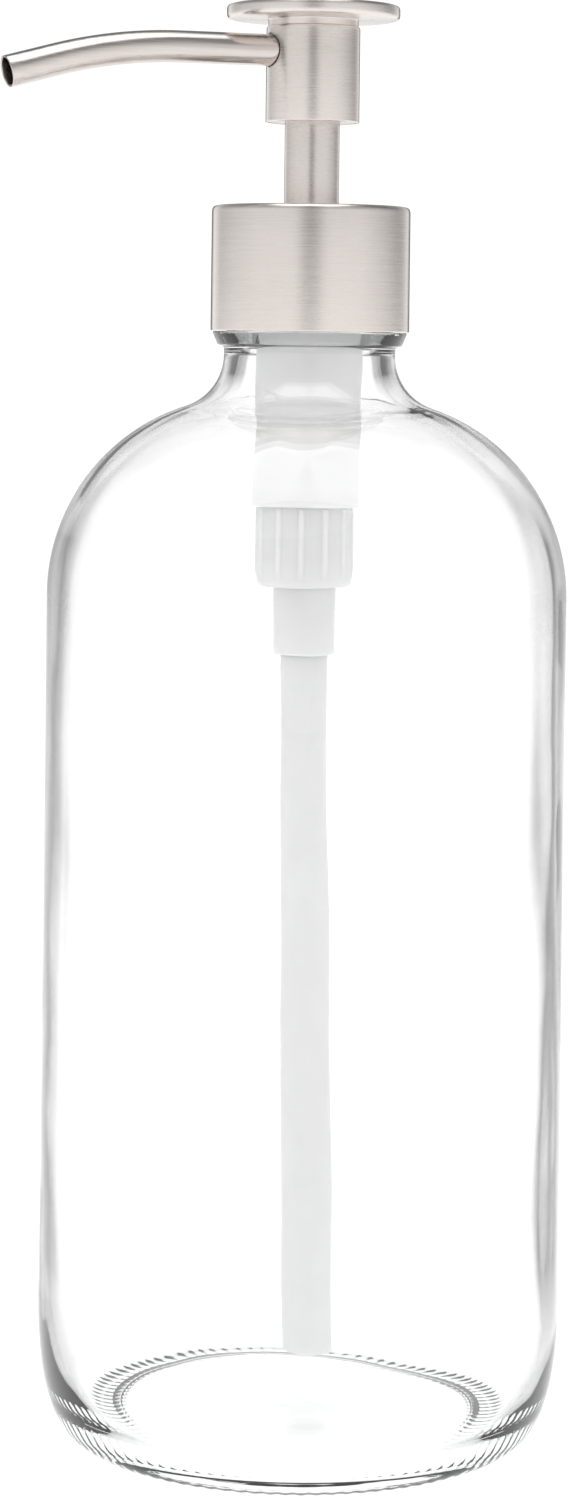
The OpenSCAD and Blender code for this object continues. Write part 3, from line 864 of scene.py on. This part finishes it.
# Level of the room in reflections, by the height of the direction, from -1 down to 1 up
OVERHEAD = [
    (-1, 1.2), (-0.3, 1), (-0.05, 0.77), (0.1, 0.7), (0.3, 0.55), (0.5, 0.3), (0.8, 0.24), (0.86, 0.3),
    (0.92, 1), (1, 1),
]
# Level of the room through glass, by the height of the direction
CEILING = [(-1, 1), (0.45, 1), (0.7, 0.85), (1, 0.8)]


def floor():
    """Pale floor that fades out before it would make a horizon."""
    s = Shader("pale_floor")
    mottle = s.noise(s.place(), 3.0, 2.0, 0.5)
    colour = s.blend(mottle, (0.9, 0.9, 0.9), (0.92, 0.92, 0.92))
    far = s.node("ShaderNodeVectorMath", {0: s.place()}, operation="LENGTH").outputs["Value"]
    s.set(Base_Color=colour.outputs[0], Roughness=0.9, Specular_IOR_Level=0.0,
          Alpha=s.scaled(far, 1.0, 0.0, 0.45 * FLOOR_R, FLOOR_R))
    bm = lathe([(0, 0), (FLOOR_R, 0)], 96, closed=False)
    mesh = bpy.data.meshes.new("floor")
    bm.to_mesh(mesh)
    bm.free()
    plane = bpy.data.objects.new("floor", mesh)
    bpy.context.scene.collection.objects.link(plane)
    mesh.materials.append(s.material)


def studio():
    """White all round for the camera. Glass sees a dimmer ceiling, and reflections see unlit gaps."""
    world = bpy.data.worlds.new("studio")
    world.use_nodes = True
    bpy.context.scene.world = world
    tree = world.node_tree
    link = tree.links.new

    def calculate(operation, *values):
        made = tree.nodes.new("ShaderNodeMath")
        made.operation = operation
        for value, socket in zip(values, made.inputs):
            if isinstance(value, float):
                socket.default_value = value
            else:
                link(value, socket)
        return made.outputs[0]

    def along(direction):
        """How far the ray points along a fixed direction, from -1 to 1."""
        made = tree.nodes.new("ShaderNodeVectorMath")
        made.operation = "DOT_PRODUCT"
        made.inputs[1].default_value = direction
        link(place.outputs["Generated"], made.inputs[0])
        return made.outputs["Value"]

    place = tree.nodes.new("ShaderNodeTexCoord")
    path = tree.nodes.new("ShaderNodeLightPath")
    front = (math.sin(CAMERA_AZIMUTH), -math.cos(CAMERA_AZIMUTH), 0)
    right = (math.cos(CAMERA_AZIMUTH), math.sin(CAMERA_AZIMUTH), 0)
    turn = calculate("ARCTAN2", along(right), along(front))
    turn_share = calculate("MULTIPLY_ADD", turn, 0.5 / math.pi, 0.5)
    height_share = calculate("MULTIPLY_ADD", along((0, 0, 1)), 0.5, 0.5)
    turns = [((degrees + 180) / 360, level) for degrees, level in ROUND_ABOUT]
    round_about = grey_ramp(tree, turn_share, turns)
    overhead = grey_ramp(tree, height_share, [(0.5 + 0.5 * z, level) for z, level in OVERHEAD])
    ceiling = grey_ramp(tree, height_share, [(0.5 + 0.5 * z, level) for z, level in CEILING])
    reflected = calculate("MULTIPLY", calculate("MULTIPLY", round_about, overhead), OVERHEAD_LEVEL)

    # 0 for the camera and for soft light, 1 after a mirror-like bounce or a pass through glass
    sharp = path.outputs["Is Glossy Ray"]
    through = path.outputs["Is Transmission Ray"]
    indirect = tree.nodes.new("ShaderNodeMix")
    link(through, indirect.inputs[0])
    link(reflected, indirect.inputs[2])
    link(ceiling, indirect.inputs[3])
    seen = tree.nodes.new("ShaderNodeMix")
    link(sharp, seen.inputs[0])
    seen.inputs[2].default_value = 1.0
    link(indirect.outputs[0], seen.inputs[3])
    strength = calculate("MULTIPLY", seen.outputs[0], ROOM_LEVEL)
    link(strength, tree.nodes["Background"].inputs["Strength"])
    tree.nodes["Background"].inputs["Color"].default_value = (1, 1, 1, 1)


def softbox(name, place, aim, size, power):
    data = bpy.data.lights.new(name, "AREA")
    data.shape = "RECTANGLE"
    data.size, data.size_y = size
    data.energy = power
    lamp = bpy.data.objects.new(name, data)
    bpy.context.scene.collection.objects.link(lamp)
    lamp.location = place
    lamp.rotation_euler = (Vector(aim) - Vector(place)).to_track_quat("-Z", "Y").to_euler()
    return lamp


def sunlight():
    """Lifts the floor to white without showing in the steel."""
    data = bpy.data.lights.new("floor_light", "SUN")
    data.energy = 0.5
    data.angle = math.radians(70)
    lamp = bpy.data.objects.new("floor_light", data)
    bpy.context.scene.collection.objects.link(lamp)
    lamp.rotation_euler = (math.radians(12), math.radians(-10), 0)
    lamp.visible_glossy = False


def camera():
    """Level camera at the collar's foot, moved down its film so that the whole bottle shows."""
    data = bpy.data.cameras.new("camera")
    data.lens = CAMERA_LENS
    data.sensor_width = 36
    data.shift_x, data.shift_y = CAMERA_SHIFT
    made = bpy.data.objects.new("camera", data)
    bpy.context.scene.collection.objects.link(made)
    out = Vector((math.sin(CAMERA_AZIMUTH), -math.cos(CAMERA_AZIMUTH), 0))
    made.location = out * CAMERA_DISTANCE + Vector((0, 0, COLLAR_Z))
    level = Euler((math.pi / 2, 0, CAMERA_AZIMUTH)).to_quaternion()
    made.rotation_mode = "QUATERNION"
    made.rotation_quaternion = level @ Euler((0, 0, CAMERA_ROLL)).to_quaternion()
    bpy.context.scene.camera = made


floor()
studio()
softbox("top_light", (-0.05, -0.1, 0.85), (0, 0, 0.2), (0.6, 0.6), 1.6)
sunlight()
camera()
bpy.context.scene.view_settings.view_transform = "Standard"
